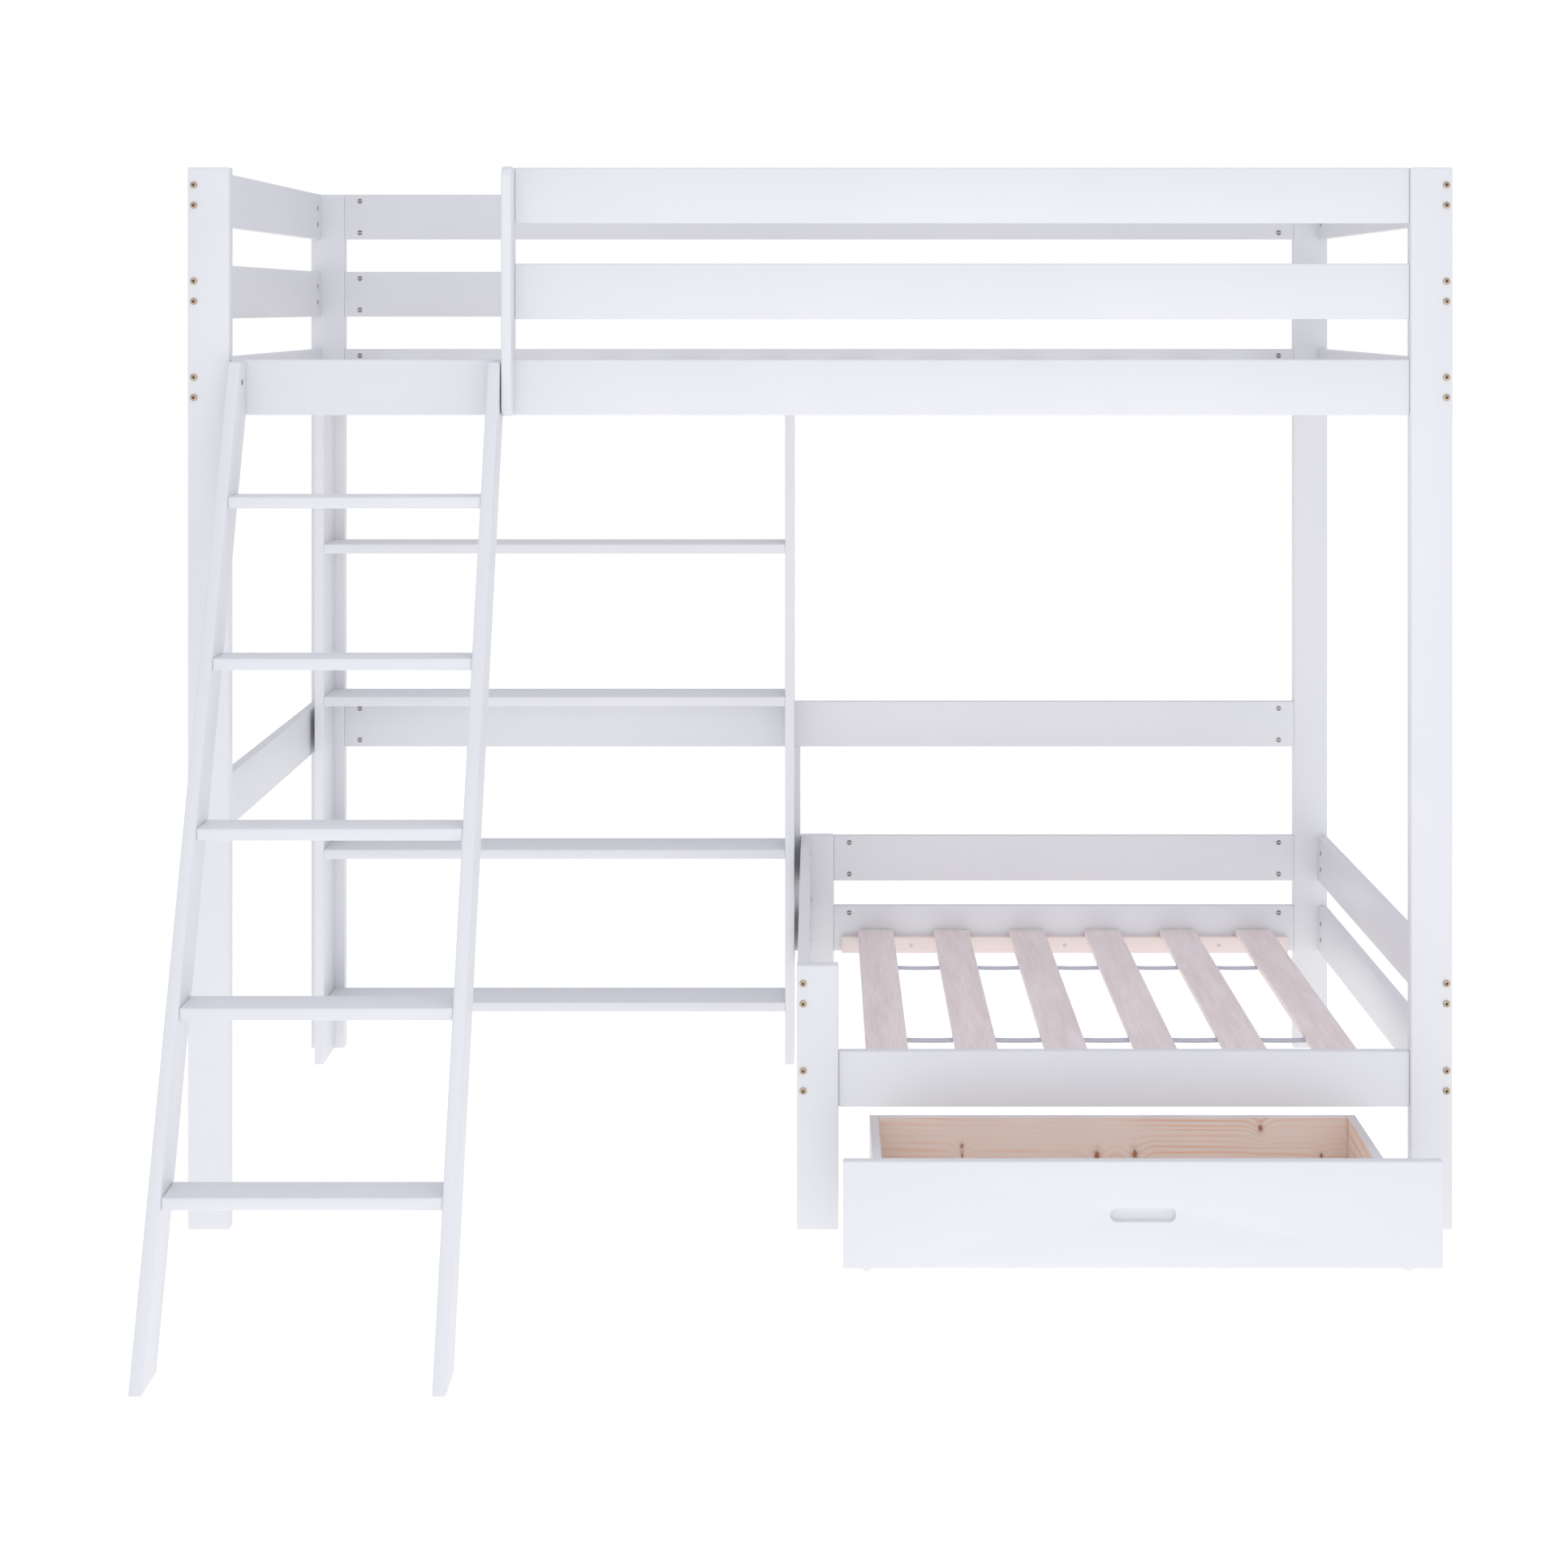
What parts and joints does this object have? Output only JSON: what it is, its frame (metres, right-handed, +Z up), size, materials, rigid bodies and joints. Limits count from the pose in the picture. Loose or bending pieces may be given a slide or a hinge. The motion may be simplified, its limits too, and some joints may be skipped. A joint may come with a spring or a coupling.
{
  "type": "loft bed with sofa",
  "caption": "White timber loft bed over a slatted sofa frame, with a leaning ladder, a narrow shelf unit and a drawer on wheels.",
  "frame": {"origin": "on the floor, midway along the bed and midway between the ladder's feet and the bolt heads at the back", "axes": "+X along the bed to the right seen from the front, +Y to the back, +Z up"},
  "size_m": [2, 1.708, 1.68],
  "materials": {
    "white_paint": "pine boards under satin white paint",
    "pine": "bare sanded pine with small knots",
    "washed_pine": "pine with a thin white wash that lets the grain show",
    "webbing": "woven tape, pale grey",
    "zinc": "yellow zinc plated steel",
    "steel": "zinc plated sheet steel",
    "wheel_plastic": "dark grey moulded plastic"
  },
  "bodies": {
    "frame": {"front_left_post": "white_paint", "front_right_post": "white_paint", "back_left_post": "white_paint", "back_right_post": "white_paint", "guard_top_rail": "white_paint", "guard_mid_rail": "white_paint", "front_bed_rail": "white_paint", "guard_end_board": "white_paint", "back_top_rail": "white_paint", "back_mid_rail": "white_paint", "back_bed_rail": "white_paint", "back_low_rail": "white_paint", "left_top_rail": "white_paint", "left_mid_rail": "white_paint", "left_bed_rail": "white_paint", "left_low_rail": "white_paint", "right_top_rail": "white_paint", "right_mid_rail": "white_paint", "right_bed_rail": "white_paint", "seat_front_leg": "white_paint", "seat_back_leg": "white_paint", "seat_front_rail": "white_paint", "seat_back_upper_rail": "white_paint", "seat_back_lower_rail": "white_paint", "seat_left_upper_rail": "white_paint", "seat_left_lower_rail": "white_paint", "seat_right_upper_rail": "white_paint", "seat_right_lower_rail": "white_paint", "back_stile": "white_paint", "shelf_left_panel": "white_paint", "shelf_right_panel": "white_paint", "shelf_1": "white_paint", "shelf_2": "white_paint", "shelf_3": "white_paint", "shelf_4": "white_paint", "ladder_left_stringer": "white_paint", "ladder_right_stringer": "white_paint", "ladder_tread_1": "white_paint", "ladder_tread_2": "white_paint", "ladder_tread_3": "white_paint", "ladder_tread_4": "white_paint", "ladder_tread_5": "white_paint", "slat_ledgers": "pine", "bed_slats": "washed_pine", "seat_slats": "washed_pine", "slat_tapes": "webbing", "frame_bolts": "zinc", "barrel_nuts": "zinc", "wood_screws": "zinc"},
    "drawer": {"drawer_front": "white_paint", "drawer_left_side": "pine", "drawer_right_side": "pine", "drawer_back": "pine", "drawer_base": "pine", "wheel_brackets": "steel", "drawer_screws": "zinc"},
    "front_left_wheel_body": {"front_left_wheel": "wheel_plastic"},
    "back_left_wheel_body": {"back_left_wheel": "wheel_plastic"},
    "front_right_wheel_body": {"front_right_wheel": "wheel_plastic"},
    "back_right_wheel_body": {"back_right_wheel": "wheel_plastic"}
  },
  "joints": [
    {"name": "drawer_slide", "type": "slide", "parent": "frame", "child": "drawer", "axis": [0, -1, 0], "range_m": [-0.241, 0.18]},
    {"name": "front_left_roll", "type": "hinge", "parent": "drawer", "child": "front_left_wheel_body", "pos_m": [0.0705, -0.368, 0.02], "axis": [1, 0, 0], "continuous": true},
    {"name": "back_left_roll", "type": "hinge", "parent": "drawer", "child": "back_left_wheel_body", "pos_m": [0.0705, -0.088, 0.02], "axis": [1, 0, 0], "continuous": true},
    {"name": "front_right_roll", "type": "hinge", "parent": "drawer", "child": "front_right_wheel_body", "pos_m": [0.8925, -0.368, 0.02], "axis": [1, 0, 0], "continuous": true},
    {"name": "back_right_roll", "type": "hinge", "parent": "drawer", "child": "back_right_wheel_body", "pos_m": [0.8925, -0.088, 0.02], "axis": [1, 0, 0], "continuous": true}
  ],
  "couplings": [
    {"joint": "front_left_roll", "follows": "drawer_slide", "rad_per_m": 50},
    {"joint": "back_left_roll", "follows": "drawer_slide", "rad_per_m": 50},
    {"joint": "front_right_roll", "follows": "drawer_slide", "rad_per_m": 50},
    {"joint": "back_right_roll", "follows": "drawer_slide", "rad_per_m": 50}
  ]
}
